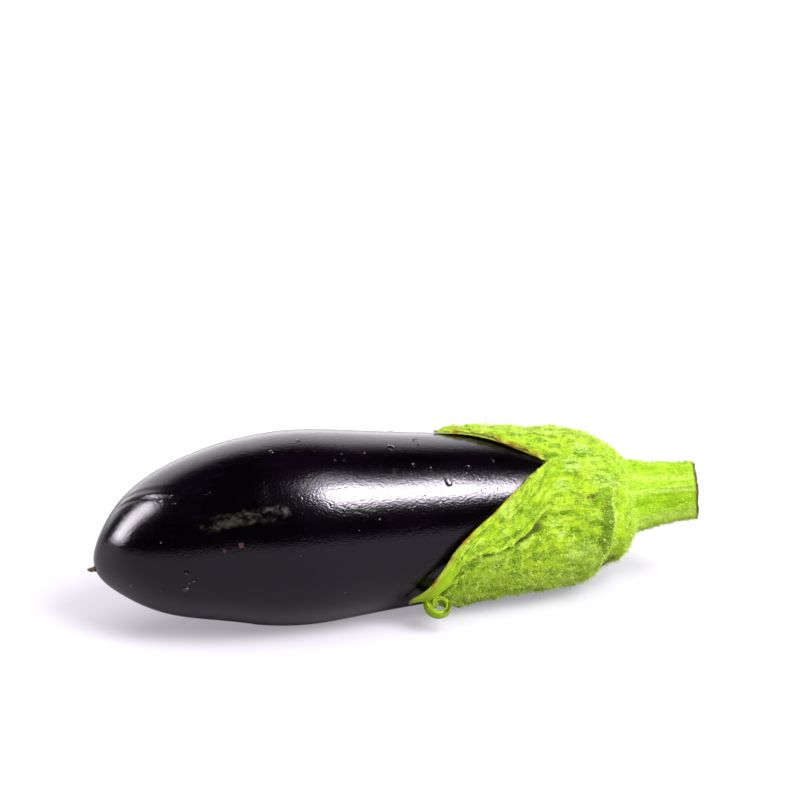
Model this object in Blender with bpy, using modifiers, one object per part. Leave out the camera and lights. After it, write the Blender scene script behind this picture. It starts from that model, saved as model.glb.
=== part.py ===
"""A small eggplant, as picked: the fruit, its calyx, the cut stem and the dried style at the blossom end.

Metres, +Z up. The fruit lies along X with its blossom end at -X and its stem at +X, resting on a small
flat spot of its belly. The origin is the middle of the base of the whole object's box.

Two coordinates place everything on the fruit's skin: the station, which is the distance along the fruit
from its pole under the stem, and the angle around it, which is 0 on top, 90 at -Y and 180 underneath.
"""

import math

import bmesh
import bpy
import numpy as np
from mathutils import Matrix, Vector

# ---- the fruit ----
FRUIT_LENGTH = 0.1110
FRUIT_RADIUS = 0.0205  # at the belly, where it is thickest
BELLY_SHARE = 0.614  # where the belly is, as a share of the length from the stem's pole
BELLY_FLAT = 0.0004  # how deep the belly is pressed flat where it rests
NOSE_DROOP = 0.0076  # how far the blossom end hangs below the line of the fruit
NOSE_BOW = 0.0050  # how far the blossom end bows towards +Y
NOSE_START = 0.715  # the share of the length where that bend begins
NOSE_EASE = 1.75  # how gently it sets in
# The outline: share of the length from the stem's pole, share of the belly's radius.
FRUIT_OUTLINE = (
    (0.0, 0.0),
    (0.008, 0.37),
    (0.034, 0.62),
    (0.115, 0.745),
    (0.41, 0.890),
    (BELLY_SHARE, 1.0),
    (0.79, 0.870),
    (0.91, 0.635),
    (0.968, 0.355),
    (1.0, 0.0),
)

# ---- the calyx ----
CALYX_THICKNESS = 0.0017
CALYX_REST = 0.0255  # the station where the calyx all but touches the table
TABLE_CLEARANCE = 0.0001  # and its height over the table there
SKIN_GAP = 0.0003  # between any two pieces that touch
TIP_THINNING = 0.35  # the share of its thickness that a sepal loses towards its tip
# Each sepal's two edges, from its notches to its tip, as station in metres and angle in degrees, and how
# far it stands off the skin at its base, its middle and its tip. Neighbours share their notches.
SEPALS = {
    "top": {
        "left": ((0.0145, -38), (0.0245, -32), (0.0330, -21), (0.0405, -8)),
        "right": ((0.0165, 33), (0.0255, 18), (0.0320, 6), (0.0405, -6)),
        "lift": (0.0, 0.0009, 0.0),
    },
    "front": {
        "left": ((0.0165, 33), (0.0275, 55), (0.0380, 85), (0.0485, 131)),
        "right": ((0.0200, 75), (0.0290, 90), (0.0380, 104), (0.0485, 134)),
        "lift": (0.0, 0.0003, 0.0012),
    },
    "lower": {
        "left": ((0.0200, 75), (0.0280, 92), (0.0360, 107), (0.0430, 128)),
        "right": ((0.0150, 152), (0.0280, 163), (0.0375, 156), (0.0430, 132)),
        "lift": (0.0, 0.0, 0.0003),
    },
    "under": {
        "left": ((0.0150, 152), (0.0250, 174), (0.0345, 196), (0.0430, 212)),
        "right": ((0.0140, 236), (0.0245, 232), (0.0340, 224), (0.0430, 214)),
        "lift": (0.0, 0.0, 0.0008),
    },
    "back": {
        "left": ((0.0140, 236), (0.0245, 249), (0.0340, 269), (0.0440, 287)),
        "right": ((0.0145, 322), (0.0245, 316), (0.0340, 304), (0.0440, 289)),
        "lift": (0.0, 0.0007, 0.0022),
    },
}
# The lower sepal's tip rolls up and away from the skin, like a watch spring.
CURL_RADIUS = (0.0033, 0.0022)
CURL_ANGLES = (90.0, 425.0)
CURL_HALF_WIDTH = (0.0012, 0.0007)

# ---- the collar, where the calyx thickens into the stem, and the seat on it ----
COLLAR_STATION = 0.0062  # where the collar leaves the cup's wall
COLLAR_REACH = (0.0072, 0.0110)  # how far it runs straight back before it draws in, on top and underneath
SEAT_DEPTH = 0.0070  # from the fruit's pole back to the seat
SEAT_RISE = 0.0009  # how far the seat's middle is above the fruit's line
SEAT_LEAD = 0.0018  # how far it runs along the stem before the seat

# ---- the stem ----
STEM_RADIUS = 0.0063
STEM_LENGTH = 0.0135  # from its seat to the cut
STEM_FLARE = 1.24  # how much thicker the stem is at its seat
STEM_SWING = -15.0  # degrees that it turns towards -Y
STEM_LIFT = 5.0  # degrees that it turns upwards
STEM_RIDGES = 5
RIDGE_HEIGHT = 0.05  # as a share of the stem's radius

# ---- the dried style ----
STYLE_LENGTH = 0.0016
STYLE_RADIUS = 0.00035

# ---- how finely the pieces are made ----
FRUIT_SIDES, FRUIT_RINGS = 48, 32
CUP_RINGS, SEPAL_ROWS, CURL_ROWS = 12, 9, 20
DEGREES_PER_COLUMN = 8.5
STEM_SIDES, STEM_ROWS, COLLAR_ROWS = 40, 5, 6


# ---- curves ----
def smooth_curve(points, count):
    """A natural cubic spline through the points, as count points evenly spaced along it."""
    points = np.array(points, float)
    along = np.concatenate([[0], np.cumsum(np.linalg.norm(np.diff(points, axis=0), axis=1))])
    step = np.diff(along)
    size = len(points)
    left, right = np.eye(size), np.zeros_like(points)
    for i in range(1, size - 1):
        left[i, i - 1 : i + 2] = step[i - 1], 2 * (step[i - 1] + step[i]), step[i]
        right[i] = 6 * ((points[i + 1] - points[i]) / step[i] - (points[i] - points[i - 1]) / step[i - 1])
    bend = np.linalg.solve(left, right)
    where = np.linspace(0, along[-1], count)
    i = np.clip(np.searchsorted(along, where) - 1, 0, size - 2)
    a = ((along[i + 1] - where) / step[i])[:, None]
    b = 1 - a
    h = (step[i] ** 2)[:, None] / 6
    return a * points[i] + b * points[i + 1] + h * ((a**3 - a) * bend[i] + (b**3 - b) * bend[i + 1])


def through_three(values, t):
    """A smooth curve through three values at 0, 0.5 and 1."""
    first, middle, last = values
    return first * (1 - t) * (1 - 2 * t) + 4 * middle * t * (1 - t) + last * t * (2 * t - 1)


def between(pair, t):
    return pair[0] + t * (pair[1] - pair[0])


def bezier(a, b, c, d, t):
    """The point at t of a curve from a to d that starts towards b and arrives from c."""
    return a * (1 - t) ** 3 + b * 3 * t * (1 - t) ** 2 + c * 3 * t * t * (1 - t) + d * t**3


# ---- the skin of the fruit ----
def fruit_meridian(samples=601):
    """Stations and radii from pole to pole. Its ends are mirrored below the axis, so the poles are round."""
    outline = np.array(FRUIT_OUTLINE) * (FRUIT_LENGTH, FRUIT_RADIUS)
    whole = np.concatenate([outline[3:0:-1] * (1, -1), outline, outline[-2:-5:-1] * (1, -1)])
    line = smooth_curve(whole, 3 * samples)
    line = np.concatenate([outline[:1], line[line[:, 1] > 0], outline[-1:]])
    along = np.concatenate([[0], np.cumsum(np.linalg.norm(np.diff(line, axis=0), axis=1))])
    even = np.linspace(0, along[-1], samples)
    return np.stack([np.interp(even, along, line[:, k]) for k in (0, 1)], axis=1)


MERIDIAN = fruit_meridian()
SLOPE = np.gradient(MERIDIAN, axis=0)
SLOPE /= np.linalg.norm(SLOPE, axis=1)[:, None]
PLACES = np.linspace(0, 1, len(MERIDIAN))
BELLY_STATION = BELLY_SHARE * FRUIT_LENGTH


def place_at(station):
    """The share of the meridian's length at a station."""
    return float(np.interp(station, MERIDIAN[:, 0], PLACES))


def skin_radius(station):
    return float(np.interp(station, MERIDIAN[:, 0], MERIDIAN[:, 1]))


def spine(station):
    """The middle of the fruit at a station, with its belly on the table and the calyx just over it."""
    belly_height = FRUIT_RADIUS - BELLY_FLAT
    calyx_height = skin_radius(CALYX_REST) + SKIN_GAP + CALYX_THICKNESS + TABLE_CLEARANCE
    share = (BELLY_STATION - station) / (BELLY_STATION - CALYX_REST)
    height = belly_height + share * (calyx_height - belly_height)
    bend = (max(0.0, station / FRUIT_LENGTH - NOSE_START) / (1 - NOSE_START)) ** NOSE_EASE
    return Vector((BELLY_STATION - station, NOSE_BOW * bend, height - NOSE_DROOP * bend))


def spine_frame(station):
    """The spine's direction towards the blossom end, up, and the side that angle 90 points to."""
    step = 0.0005
    ahead = (spine(station + step) - spine(station - step)).normalized()
    up = (Vector((0, 0, 1)) - ahead * ahead.z).normalized()
    return ahead, up, up.cross(ahead)


def skin_point(place, angle, height=0.0):
    """The point this high over the skin, at a share of the meridian and an angle around."""
    station, radius = (float(np.interp(place, PLACES, MERIDIAN[:, k])) for k in (0, 1))
    along, outward = (float(np.interp(place, PLACES, SLOPE[:, k])) for k in (0, 1))
    ahead, up, side = spine_frame(station)
    turn = math.radians(angle)
    ray = up * math.cos(turn) + side * math.sin(turn)
    return spine(station) + ray * (radius + along * height) - ahead * (outward * height)


# ---- Blender helpers ----
def clear_scene():
    for old in list(bpy.data.objects):
        bpy.data.objects.remove(old, do_unlink=True)


def collection_named(name):
    made = bpy.data.collections.new(name)
    bpy.context.scene.collection.children.link(made)
    return made


def material(name, colour, roughness):
    made = bpy.data.materials.new(name)
    made.use_nodes = True
    shader = made.node_tree.nodes["Principled BSDF"]
    shader.inputs["Base Color"].default_value = (*colour, 1)
    shader.inputs["Roughness"].default_value = roughness
    shader.inputs["Metallic"].default_value = 0.0
    return made


def mesh_from(bm, name):
    mesh = bpy.data.meshes.new(name)
    bm.to_mesh(mesh)
    bm.free()
    mesh.shade_smooth()
    return mesh


def object_from(mesh, collection, parent):
    made = bpy.data.objects.new(mesh.name, mesh)
    collection.objects.link(made)
    made.parent = parent
    return made


def fill_rows(bm, outer, inner, closed=False):
    """Joins two rows of vertices with faces."""
    for c in range(len(outer) if closed else len(outer) - 1):
        d = (c + 1) % len(outer)
        bm.faces.new((outer[c], outer[d], inner[d], inner[c]))


def loft(name, rows):
    """A closed body through rows of points that go around it, from its first row to its last."""
    bm = bmesh.new()
    made = [[bm.verts.new(point) for point in row] for row in rows]
    for inner, outer in zip(made, made[1:]):
        fill_rows(bm, outer, inner, closed=True)
    bm.faces.new(made[0])
    bm.faces.new(made[-1])
    bmesh.ops.recalc_face_normals(bm, faces=bm.faces)
    mesh = mesh_from(bm, name)
    mesh.set_sharp_from_angle(angle=math.radians(50))
    return mesh


# ---- the pieces ----
def fruit_mesh():
    """A sphere drawn out to the fruit's outline along its spine, with its belly cut flat on the table."""
    bm = bmesh.new()
    bmesh.ops.create_uvsphere(bm, u_segments=FRUIT_SIDES, v_segments=FRUIT_RINGS, radius=1)
    for vertex in bm.verts:
        place = math.acos(min(max(vertex.co.z, -1.0), 1.0)) / math.pi
        angle = math.degrees(math.atan2(vertex.co.y, vertex.co.x))
        vertex.co = skin_point(place, angle)
    everything = [*bm.verts, *bm.edges, *bm.faces]
    cut = bmesh.ops.bisect_plane(
        bm, geom=everything, dist=1e-6, plane_co=(0, 0, 0), plane_no=(0, 0, -1), clear_outer=True
    )
    rim = [edge for edge in cut["geom_cut"] if isinstance(edge, bmesh.types.BMEdge)]
    bmesh.ops.edgeloop_fill(bm, edges=rim)
    bmesh.ops.recalc_face_normals(bm, faces=bm.faces)
    return mesh_from(bm, "fruit")


def edge_curve(points):
    """A sepal's edge, as a function from 0 at the notch to 1 at the tip that gives station and angle."""
    unrolled = np.array([1, math.radians(1) * FRUIT_RADIUS])
    line = smooth_curve(np.array(points) * unrolled, 60) / unrolled
    shares = np.linspace(0, 1, len(line))
    return lambda t: [float(np.interp(t, shares, line[:, k])) for k in (0, 1)]


def sepal_rows(sepal, columns):
    """The rows of a sepal's inner face, from past its notches to its tip."""
    left, right = edge_curve(sepal["left"]), edge_curve(sepal["right"])
    for row in range(1, SEPAL_ROWS + 1):
        t = row / SEPAL_ROWS
        start, end = left(t), right(t)
        height = SKIN_GAP + max(0.0, through_three(sepal["lift"], t))
        shares = [c / columns for c in range(columns + 1)]
        places = [[start[k] + share * (end[k] - start[k]) for k in (0, 1)] for share in shares]
        yield t, [skin_point(place_at(station), angle, height) for station, angle in places]


def curl_rows(sepal, columns):
    """The rolled-up tip: rows across a strip that follows a shrinking spiral away from the skin."""
    (station, left), (_, right) = sepal["left"][-1], sepal["right"][-1]
    place, angle = place_at(station), (left + right) / 2
    tip = skin_point(place, angle, SKIN_GAP + sepal["lift"][-1])
    outward = (skin_point(place, angle, CURL_RADIUS[0]) - skin_point(place, angle)).normalized()
    across = (skin_point(place, right) - skin_point(place, left)).normalized()
    back = outward.cross(across)

    def spoke(t):
        turn = math.radians(between(CURL_ANGLES, t))
        return (back * math.cos(turn) - outward * math.sin(turn)) * between(CURL_RADIUS, t)

    middle = tip - spoke(0.0)
    for row in range(1, CURL_ROWS + 1):
        t = row / CURL_ROWS
        half = between(CURL_HALF_WIDTH, t)
        yield [middle + spoke(t) + across * half * (2 * c / columns - 1) for c in range(columns + 1)]


def calyx_sheet():
    """The calyx's inner face, as an open sheet, with each vertex's share of the full thickness."""
    bm = bmesh.new()
    shares = []

    def row_of(points, share):
        shares.extend([share] * len(points))
        return [bm.verts.new(point) for point in points]

    notches, starts = [], {}
    for name, sepal in SEPALS.items():
        (station, angle), (next_station, next_angle) = sepal["left"][0], sepal["right"][0]
        columns = max(4, round((next_angle - angle) / DEGREES_PER_COLUMN))
        starts[name] = len(notches), columns
        for c in range(columns):
            share = c / columns
            notches.append((station + share * (next_station - station), angle + share * (next_angle - angle)))

    ring = None
    for count in range(1, CUP_RINGS + 1):
        points = [skin_point(place_at(s) * count / CUP_RINGS, angle, SKIN_GAP) for s, angle in notches]
        outer = row_of(points, 1.0)
        if ring:
            fill_rows(bm, outer, ring, closed=True)
        else:
            bm.faces.new(outer)
        ring = outer

    for name, (start, columns) in starts.items():
        inner = [ring[(start + c) % len(ring)] for c in range(columns + 1)]
        for t, points in sepal_rows(SEPALS[name], columns):
            outer = row_of(points, 1 - TIP_THINNING * t)
            fill_rows(bm, outer, inner)
            inner = outer
        if name == "lower":
            for points in curl_rows(SEPALS[name], columns):
                outer = row_of(points, 1 - TIP_THINNING)
                fill_rows(bm, outer, inner)
                inner = outer
    return mesh_from(bm, "calyx"), shares


def stem_axis():
    """The middle of the stem's seat, the stem's direction, and two directions across it."""
    ahead, up, _ = spine_frame(0.0)
    middle = spine(0.0) - ahead * SEAT_DEPTH + up * SEAT_RISE
    turn = Matrix.Rotation(math.radians(STEM_SWING), 3, "Z") @ Matrix.Rotation(math.radians(-STEM_LIFT), 3, "Y")
    along, left, above = (turn @ Vector(axis) for axis in ((1, 0, 0), (0, 1, 0), (0, 0, 1)))
    return middle, along, above, -left


def stem_ring(distance, radius):
    """A ridged ring around the stem, this far past its seat."""
    middle, along, above, side = stem_axis()
    ring = []
    for c in range(STEM_SIDES):
        turn = 2 * math.pi * c / STEM_SIDES
        ridged = radius * (1 + RIDGE_HEIGHT * math.cos(STEM_RIDGES * turn))
        ring.append(middle + along * distance + (above * math.cos(turn) + side * math.sin(turn)) * ridged)
    return ring


def collar_mesh():
    """The thick collar: over the cup's crown inside, and flaring from the cup's shoulder to the seat."""
    inside = SKIN_GAP + CALYX_THICKNESS / 2
    shoulder = place_at(COLLAR_STATION)
    angles = [360 * c / STEM_SIDES for c in range(STEM_SIDES)]
    rows = [[skin_point(shoulder * share, angle, inside) for angle in angles] for share in (0.1, 0.4, 0.7, 1.0)]
    back = -spine_frame(0.0)[0]
    along = stem_axis()[1]
    start, seat = rows[-1], stem_ring(0.0, STEM_RADIUS * STEM_FLARE)
    lead = along * SEAT_LEAD
    reaches = [back * between(COLLAR_REACH, (1 - math.cos(math.radians(angle))) / 2) for angle in angles]
    for row in range(1, COLLAR_ROWS + 1):
        t = row / COLLAR_ROWS
        rows.append([bezier(a, a + reach, d - lead, d, t) for a, reach, d in zip(start, reaches, seat)])
    return loft("collar", rows)


def make_fruit(parts, origin):
    fruit = object_from(fruit_mesh(), parts, origin)
    fruit.data.materials.append(material("skin", (0.012, 0.006, 0.014), 0.12))


def make_calyx(parts, helpers, origin):
    """The cup and its sepals, a sheet with Solidify, joined to the collar that the stem stands on."""
    sheet, shares = calyx_sheet()
    calyx = object_from(sheet, parts, origin)
    calyx.data.materials.append(material("calyx_green", (0.34, 0.56, 0.05), 0.6))
    group = calyx.vertex_groups.new(name="thickness")
    for index, share in enumerate(shares):
        group.add([index], share, "REPLACE")
    shell = calyx.modifiers.new("shell", "SOLIDIFY")
    shell.thickness = CALYX_THICKNESS
    shell.offset = 1
    shell.vertex_group = group.name
    collar = object_from(collar_mesh(), helpers, origin)
    collar.hide_render = True
    collar.display_type = "WIRE"
    union = calyx.modifiers.new("collar", "BOOLEAN")
    union.operation = "UNION"
    union.object = collar


def make_stem(parts, origin):
    """The cut stem, thicker at its seat, a skin gap away from the collar."""
    rows = []
    for row in range(STEM_ROWS + 1):
        t = row / STEM_ROWS
        rows.append(stem_ring(SKIN_GAP + t * STEM_LENGTH, STEM_RADIUS * (1 + (STEM_FLARE - 1) * (1 - t) ** 2)))
    stem = object_from(loft("stem", rows), parts, origin)
    stem.data.materials.append(material("stem_green", (0.40, 0.58, 0.08), 0.6))


def make_style(parts, origin):
    """The dried style: a thin cone that stands on the blossom end's pole."""
    pole = skin_point(1.0, 0.0)
    ahead = spine_frame(FRUIT_LENGTH)[0]
    bm = bmesh.new()
    bmesh.ops.create_cone(
        bm, cap_ends=True, segments=10, radius1=STYLE_RADIUS, radius2=STYLE_RADIUS / 2, depth=STYLE_LENGTH
    )
    style = object_from(mesh_from(bm, "style_remnant"), parts, origin)
    style.location = pole + ahead * (SKIN_GAP + STYLE_LENGTH / 2)
    style.rotation_mode = "QUATERNION"
    style.rotation_quaternion = ahead.to_track_quat("Z", "Y")
    style.data.materials.append(material("dried_style", (0.20, 0.11, 0.06), 0.8))


def centre_on(origin, collection):
    """Moves the empty that holds everything, so that the box of it all stands on the world's origin."""
    bpy.context.view_layer.update()
    graph = bpy.context.evaluated_depsgraph_get()
    corners = []
    for piece in collection.objects:
        ready = piece.evaluated_get(graph)
        corners.extend(ready.matrix_world @ vertex.co for vertex in ready.data.vertices)
    low, high = np.min(corners, axis=0), np.max(corners, axis=0)
    origin.location = (-(low[0] + high[0]) / 2, -(low[1] + high[1]) / 2, -low[2])


def main():
    clear_scene()
    parts = collection_named("eggplant")
    helpers = collection_named("cutters")
    origin = bpy.data.objects.new("origin", None)
    bpy.context.scene.collection.objects.link(origin)
    make_fruit(parts, origin)
    make_calyx(parts, helpers, origin)
    make_stem(parts, origin)
    make_style(parts, origin)
    centre_on(origin, parts)


main()
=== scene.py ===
"""The looks of a small eggplant: glossy fruit, felty calyx, cut stem, dried style, hairs and water drops.

Metres, +Z up, in the CAD model's own frame. Two coordinates place everything on the fruit: the station,
which is the distance along the fruit from its pole under the stem, and the angle around it in degrees,
which is 0 on top, 90 at -Y and 180 underneath.
"""

import functools
import math
from typing import NamedTuple

import bpy
import numpy as np
from mathutils import Matrix, Vector, noise


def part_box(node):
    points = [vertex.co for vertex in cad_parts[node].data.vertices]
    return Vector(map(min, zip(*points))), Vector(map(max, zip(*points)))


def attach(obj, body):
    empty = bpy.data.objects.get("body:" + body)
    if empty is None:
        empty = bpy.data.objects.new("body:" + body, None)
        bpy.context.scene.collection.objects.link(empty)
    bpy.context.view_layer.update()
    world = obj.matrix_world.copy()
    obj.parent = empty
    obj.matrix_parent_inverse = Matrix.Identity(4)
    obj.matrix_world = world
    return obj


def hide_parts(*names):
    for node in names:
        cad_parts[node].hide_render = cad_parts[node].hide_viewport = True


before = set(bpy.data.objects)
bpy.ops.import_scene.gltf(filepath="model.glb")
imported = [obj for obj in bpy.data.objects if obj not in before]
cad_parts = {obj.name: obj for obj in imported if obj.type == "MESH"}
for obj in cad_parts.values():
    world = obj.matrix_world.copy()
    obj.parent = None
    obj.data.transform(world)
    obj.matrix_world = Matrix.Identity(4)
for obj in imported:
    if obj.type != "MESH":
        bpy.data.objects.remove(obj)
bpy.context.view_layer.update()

# ---- the fruit, as the CAD has it ----
FRUIT_LENGTH = 0.1110
FRUIT_RADIUS = 0.0205
BELLY_SHARE = 0.614
BELLY_FLAT = 0.0004
NOSE_DROOP = 0.0076
NOSE_BOW = 0.0050
NOSE_START = 0.715
NOSE_EASE = 1.75
FRUIT_OUTLINE = (  # shares of the length and of the radius
    (0.0, 0.0), (0.008, 0.37), (0.034, 0.62), (0.115, 0.747), (0.25, 0.824), (0.40, 0.898), (0.51, 0.956),
    (BELLY_SHARE, 1.0), (0.70, 0.969), (0.80, 0.859), (0.91, 0.635), (0.968, 0.355), (1.0, 0.0),
)
CALYX_THICKNESS = 0.0017
CALYX_REST = 0.0255
TABLE_CLEARANCE = 0.0001
SKIN_GAP = 0.0003

BELLY_STATION = BELLY_SHARE * FRUIT_LENGTH
BELLY_HEIGHT = FRUIT_RADIUS - BELLY_FLAT
FRUIT_LOW, FRUIT_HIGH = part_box("fruit")
ORIGIN = np.array([FRUIT_HIGH.x - BELLY_STATION, FRUIT_LOW.y + FRUIT_RADIUS, 0.0])


# ---- curves and the skin that everything lies on ----
def lengths_along(points):
    """The distance from the first point to each point of a line."""
    return np.concatenate([[0], np.cumsum(np.linalg.norm(np.diff(points, axis=0), axis=1))])


def smooth_curve(points, count):
    """A natural cubic spline through the points, as count points evenly spaced along it."""
    points = np.array(points, float)
    along = lengths_along(points)
    step = np.diff(along)
    size = len(points)
    left, right = np.eye(size), np.zeros_like(points)
    for i in range(1, size - 1):
        left[i, i - 1 : i + 2] = step[i - 1], 2 * (step[i - 1] + step[i]), step[i]
        right[i] = 6 * ((points[i + 1] - points[i]) / step[i] - (points[i] - points[i - 1]) / step[i - 1])
    bend = np.linalg.solve(left, right)
    where = np.linspace(0, along[-1], count)
    i = np.clip(np.searchsorted(along, where) - 1, 0, size - 2)
    a = ((along[i + 1] - where) / step[i])[:, None]
    b = 1 - a
    h = (step[i] ** 2)[:, None] / 6
    return a * points[i] + b * points[i + 1] + h * ((a**3 - a) * bend[i] + (b**3 - b) * bend[i + 1])


def fruit_meridian(samples=601):
    """Stations and radii from pole to pole, evenly spaced along the outline."""
    outline = np.array(FRUIT_OUTLINE) * (FRUIT_LENGTH, FRUIT_RADIUS)
    whole = np.concatenate([outline[3:0:-1] * (1, -1), outline, outline[-2:-5:-1] * (1, -1)])
    line = smooth_curve(whole, 3 * samples)
    line = np.concatenate([outline[:1], line[line[:, 1] > 0], outline[-1:]])
    along = lengths_along(line)
    even = np.linspace(0, along[-1], samples)
    return np.stack([np.interp(even, along, line[:, k]) for k in (0, 1)], axis=1)


MERIDIAN = fruit_meridian()
SLOPE = np.gradient(MERIDIAN, axis=0)
SLOPE /= np.linalg.norm(SLOPE, axis=1)[:, None]
PLACES = np.linspace(0, 1, len(MERIDIAN))


def place_at(station):
    """The share of the meridian's length at a station."""
    return np.interp(station, MERIDIAN[:, 0], PLACES)


def skin_radius(station):
    return np.interp(station, MERIDIAN[:, 0], MERIDIAN[:, 1])


CALYX_HEIGHT = float(skin_radius(CALYX_REST)) + SKIN_GAP + CALYX_THICKNESS + TABLE_CLEARANCE
SPINE_RISE = (CALYX_HEIGHT - BELLY_HEIGHT) / (BELLY_STATION - CALYX_REST)


def unit(vectors):
    return vectors / np.linalg.norm(vectors, axis=-1)[..., None]


def spine(station):
    """The middle of the fruit at these stations."""
    bend = (np.maximum(0.0, station / FRUIT_LENGTH - NOSE_START) / (1 - NOSE_START)) ** NOSE_EASE
    height = BELLY_HEIGHT + SPINE_RISE * (BELLY_STATION - station)
    return ORIGIN + np.stack([BELLY_STATION - station, NOSE_BOW * bend, height - NOSE_DROOP * bend], -1)


def spine_frame(station):
    """The spine's direction towards the blossom end, up, and the side that angle 90 points to."""
    step = 0.0005
    ahead = unit(spine(station + step) - spine(station - step))
    up = unit(np.array([0.0, 0.0, 1.0]) - ahead * ahead[..., 2:])
    return ahead, up, np.cross(up, ahead)


def skin_at(place, angle, height):
    """Points this high over the skin, at shares of the meridian and angles around."""
    place, angle, height = np.broadcast_arrays(*(np.asarray(v, float) for v in (place, angle, height)))
    station, radius = (np.interp(place, PLACES, MERIDIAN[:, k]) for k in (0, 1))
    along, outward = (np.interp(place, PLACES, SLOPE[:, k]) for k in (0, 1))
    ahead, up, side = spine_frame(station)
    turn = np.radians(angle)[..., None]
    ray = up * np.cos(turn) + side * np.sin(turn)
    return spine(station) + ray * (radius + along * height)[..., None] - ahead * (outward * height)[..., None]


def skin(station, angle, height=0.0):
    return skin_at(place_at(station), angle, height)


def smoothstep(value, low, high):
    t = np.clip((value - low) / (high - low), 0.0, 1.0)
    return t * t * (3 - 2 * t)


def bump_at(value, middle, width):
    """A soft hump, 1 at the middle."""
    return np.exp(-(((value - middle) / width) ** 2))


def soft_noise(points, size, shift=0.0):
    """Smooth noise from -1 to 1 at each point, with lumps about this many metres across."""
    return np.array([noise.noise(Vector(p) / size + Vector((shift, 0, 0))) for p in points])


# ---- node trees, written as Python ----
def is_vector(value):
    return isinstance(value, tuple) or isinstance(value, Wire) and value.socket.type == "VECTOR"


class Wire:
    """A node's output. Arithmetic on it adds Math nodes, or Vector Math nodes where it is a vector."""

    def __init__(self, tree, socket):
        self.tree, self.socket = tree, socket

    def __getitem__(self, name):
        """Another output of the same node."""
        return Wire(self.tree, self.socket.node.outputs[name])

    def combine(self, operation, first, second):
        vectors = [is_vector(first), is_vector(second)]
        if not any(vectors):
            return self.tree.function(operation, first, second)
        if operation == "MULTIPLY" and not all(vectors):
            vector, number = (first, second) if vectors[0] else (second, first)
            operation = {"operation": "SCALE"}
            return self.tree.node("ShaderNodeVectorMath", operation, {0: vector, "Scale": number})
        return self.tree.vector(operation, first, second)

    def __add__(self, other):
        return self.combine("ADD", self, other)

    def __sub__(self, other):
        return self.combine("SUBTRACT", self, other)

    def __rsub__(self, other):
        return self.combine("SUBTRACT", other, self)

    def __mul__(self, other):
        return self.combine("MULTIPLY", self, other)

    def __truediv__(self, other):
        return self.combine("DIVIDE", self, other)

    def __rtruediv__(self, other):
        return self.combine("DIVIDE", other, self)

    def __pow__(self, other):
        return self.combine("POWER", self, other)

    __radd__ = __add__
    __rmul__ = __mul__


class Tree:
    """A node tree, with one way to add a node to it."""

    def __init__(self, tree):
        self.tree = tree

    def node(self, kind, settings=None, values=None, output=0):
        """Adds a node: its settings first, then a value or a wire for each of its sockets."""
        made = self.tree.nodes.new(kind)
        for name, value in (settings or {}).items():
            setattr(made, name, value)
        for name, value in (values or {}).items():
            socket = made.inputs[name]
            if isinstance(value, Wire):
                self.tree.links.new(value.socket, socket)
            elif socket.type == "RGBA" and len(value) == 3:
                socket.default_value = (*value, 1.0)
            else:
                socket.default_value = value
        return Wire(self, made.outputs[output]) if len(made.outputs) else made

    def step(self, value, low, high):
        """0 below low and 1 over high, with a soft step between. It falls instead where low is the larger."""
        values = {"Value": value, "From Min": low, "From Max": high}
        return self.node("ShaderNodeMapRange", {"interpolation_type": "SMOOTHSTEP"}, values)

    def function(self, operation, *values):
        return self.node("ShaderNodeMath", {"operation": operation}, dict(enumerate(values)))

    def most(self, masks):
        """The largest of several numbers at each point."""
        return functools.reduce(functools.partial(self.function, "MAXIMUM"), masks)

    def vector(self, operation, *values, output=0):
        return self.node("ShaderNodeVectorMath", {"operation": operation}, dict(enumerate(values)), output)

    def split(self, vector):
        """A vector's X, with its Y and Z as the same node's other outputs."""
        return self.node("ShaderNodeSeparateXYZ", values={0: vector})

    def join(self, *parts):
        return self.node("ShaderNodeCombineXYZ", values=dict(enumerate(parts)))

    def noise(self, place, size, detail=2.0, rough=0.5, stretch=(1.0, 1.0, 1.0), shift=0.0):
        """Noise from 0 to 1 with blotches about this many metres across, drawn out where stretch is small."""
        mapped = place * stretch + (shift, shift, shift)
        values = {"Vector": mapped, "Scale": 1 / size, "Detail": detail, "Roughness": rough}
        return self.node("ShaderNodeTexNoise", values=values)


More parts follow.
